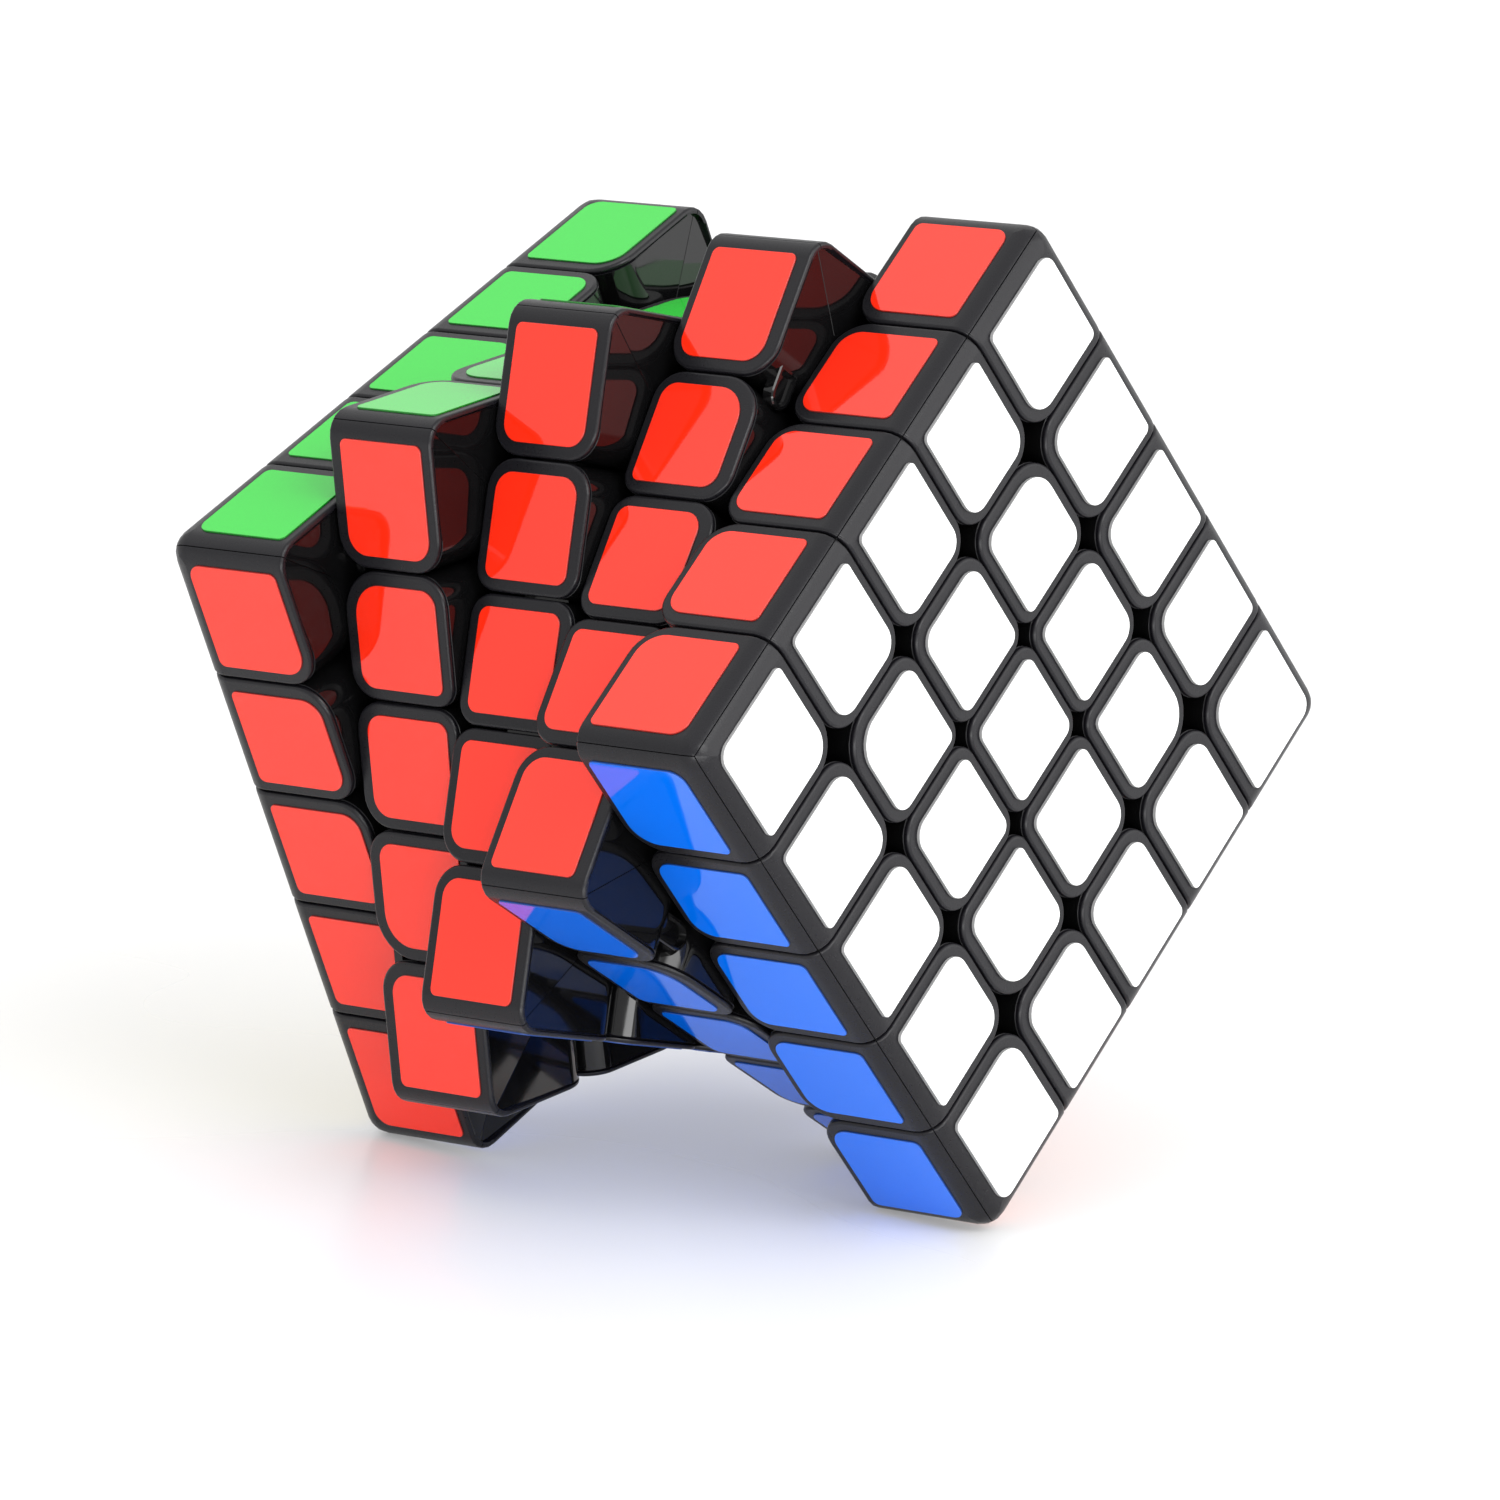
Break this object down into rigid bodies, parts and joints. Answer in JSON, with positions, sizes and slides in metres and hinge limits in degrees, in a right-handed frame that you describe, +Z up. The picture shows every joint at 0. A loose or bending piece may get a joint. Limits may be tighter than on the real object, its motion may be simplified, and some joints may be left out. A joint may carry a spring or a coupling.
{
  "type": "twisty puzzle cube",
  "caption": "Layered twisty puzzle cube with coloured stickers on black cubies, part-turned about one axis and standing on its corners.",
  "frame": {"origin": "on the surface that the puzzle stands on, at the bottom centre of its bounding box as it stands part-turned on three corners", "axes": "+Z up; +X is the horizontal direction of the twist axis towards the white face, which leans 3.4 degrees upwards; +Y completes the right-hand frame, away from the red side"},
  "size_m": [0.066, 0.0846, 0.0851],
  "materials": {
    "black_plastic": "satin",
    "core_plastic": "matte",
    "screw_steel": "satin",
    "spring_steel": "polished",
    "sticker_white": "gloss",
    "sticker_red": "gloss",
    "sticker_blue": "gloss",
    "sticker_green": "gloss",
    "sticker_orange": "gloss",
    "sticker_yellow": "gloss"
  },
  "bodies": {
    "core_and_middle_layer": {"core": "core_plastic", "middle_orange_green_edge": "black_plastic", "middle_green_red_edge": "black_plastic", "middle_red_blue_edge": "black_plastic", "middle_blue_orange_edge": "black_plastic", "middle_green_centres": "black_plastic", "middle_red_centres": "black_plastic", "middle_blue_centres": "black_plastic", "middle_orange_centres": "black_plastic", "white_screw": "screw_steel", "white_spring": "spring_steel", "yellow_screw": "screw_steel", "yellow_spring": "spring_steel", "green_screw": "screw_steel", "green_spring": "spring_steel", "blue_screw": "screw_steel", "blue_spring": "spring_steel", "orange_screw": "screw_steel", "orange_spring": "spring_steel", "red_screw": "screw_steel", "red_spring": "spring_steel"},
    "white_slice": {"white_slice_orange_green_edge": "black_plastic", "white_slice_green_red_edge": "black_plastic", "white_slice_red_blue_edge": "black_plastic", "white_slice_blue_orange_edge": "black_plastic", "white_slice_green_centres": "black_plastic", "white_slice_red_centres": "black_plastic", "white_slice_blue_centres": "black_plastic", "white_slice_orange_centres": "black_plastic"},
    "white_layer": {"white_orange_green_corner": "black_plastic", "white_green_red_corner": "black_plastic", "white_red_blue_corner": "black_plastic", "white_blue_orange_corner": "black_plastic", "white_green_edges": "black_plastic", "white_red_edges": "black_plastic", "white_blue_edges": "black_plastic", "white_orange_edges": "black_plastic", "white_face_centres": "black_plastic", "white_fixed_centre": "black_plastic", "white_centre_cap": "black_plastic"},
    "yellow_slice": {"yellow_slice_green_red_edge": "black_plastic", "yellow_slice_red_blue_edge": "black_plastic", "yellow_slice_blue_orange_edge": "black_plastic", "yellow_slice_orange_green_edge": "black_plastic", "yellow_slice_green_centres": "black_plastic", "yellow_slice_red_centres": "black_plastic", "yellow_slice_blue_centres": "black_plastic", "yellow_slice_orange_centres": "black_plastic"},
    "yellow_layer": {"yellow_green_red_corner": "black_plastic", "yellow_red_blue_corner": "black_plastic", "yellow_blue_orange_corner": "black_plastic", "yellow_orange_green_corner": "black_plastic", "yellow_green_edges": "black_plastic", "yellow_red_edges": "black_plastic", "yellow_blue_edges": "black_plastic", "yellow_orange_edges": "black_plastic", "yellow_face_centres": "black_plastic", "yellow_fixed_centre": "black_plastic", "yellow_centre_cap": "black_plastic"}
  },
  "joints": [
    {"name": "white_slice_turn", "type": "hinge", "parent": "core_and_middle_layer", "child": "white_slice", "pos_m": [-0.00008, 0, 0.04115], "axis": [0.9982, 0, 0.0602], "continuous": true},
    {"name": "white_layer_turn", "type": "hinge", "parent": "core_and_middle_layer", "child": "white_layer", "pos_m": [-0.00008, 0, 0.04115], "axis": [0.9982, 0, 0.0602], "continuous": true},
    {"name": "yellow_slice_turn", "type": "hinge", "parent": "core_and_middle_layer", "child": "yellow_slice", "pos_m": [-0.00008, 0, 0.04115], "axis": [0.9982, 0, 0.0602], "continuous": true},
    {"name": "yellow_layer_turn", "type": "hinge", "parent": "core_and_middle_layer", "child": "yellow_layer", "pos_m": [-0.00008, 0, 0.04115], "axis": [0.9982, 0, 0.0602], "continuous": true}
  ]
}
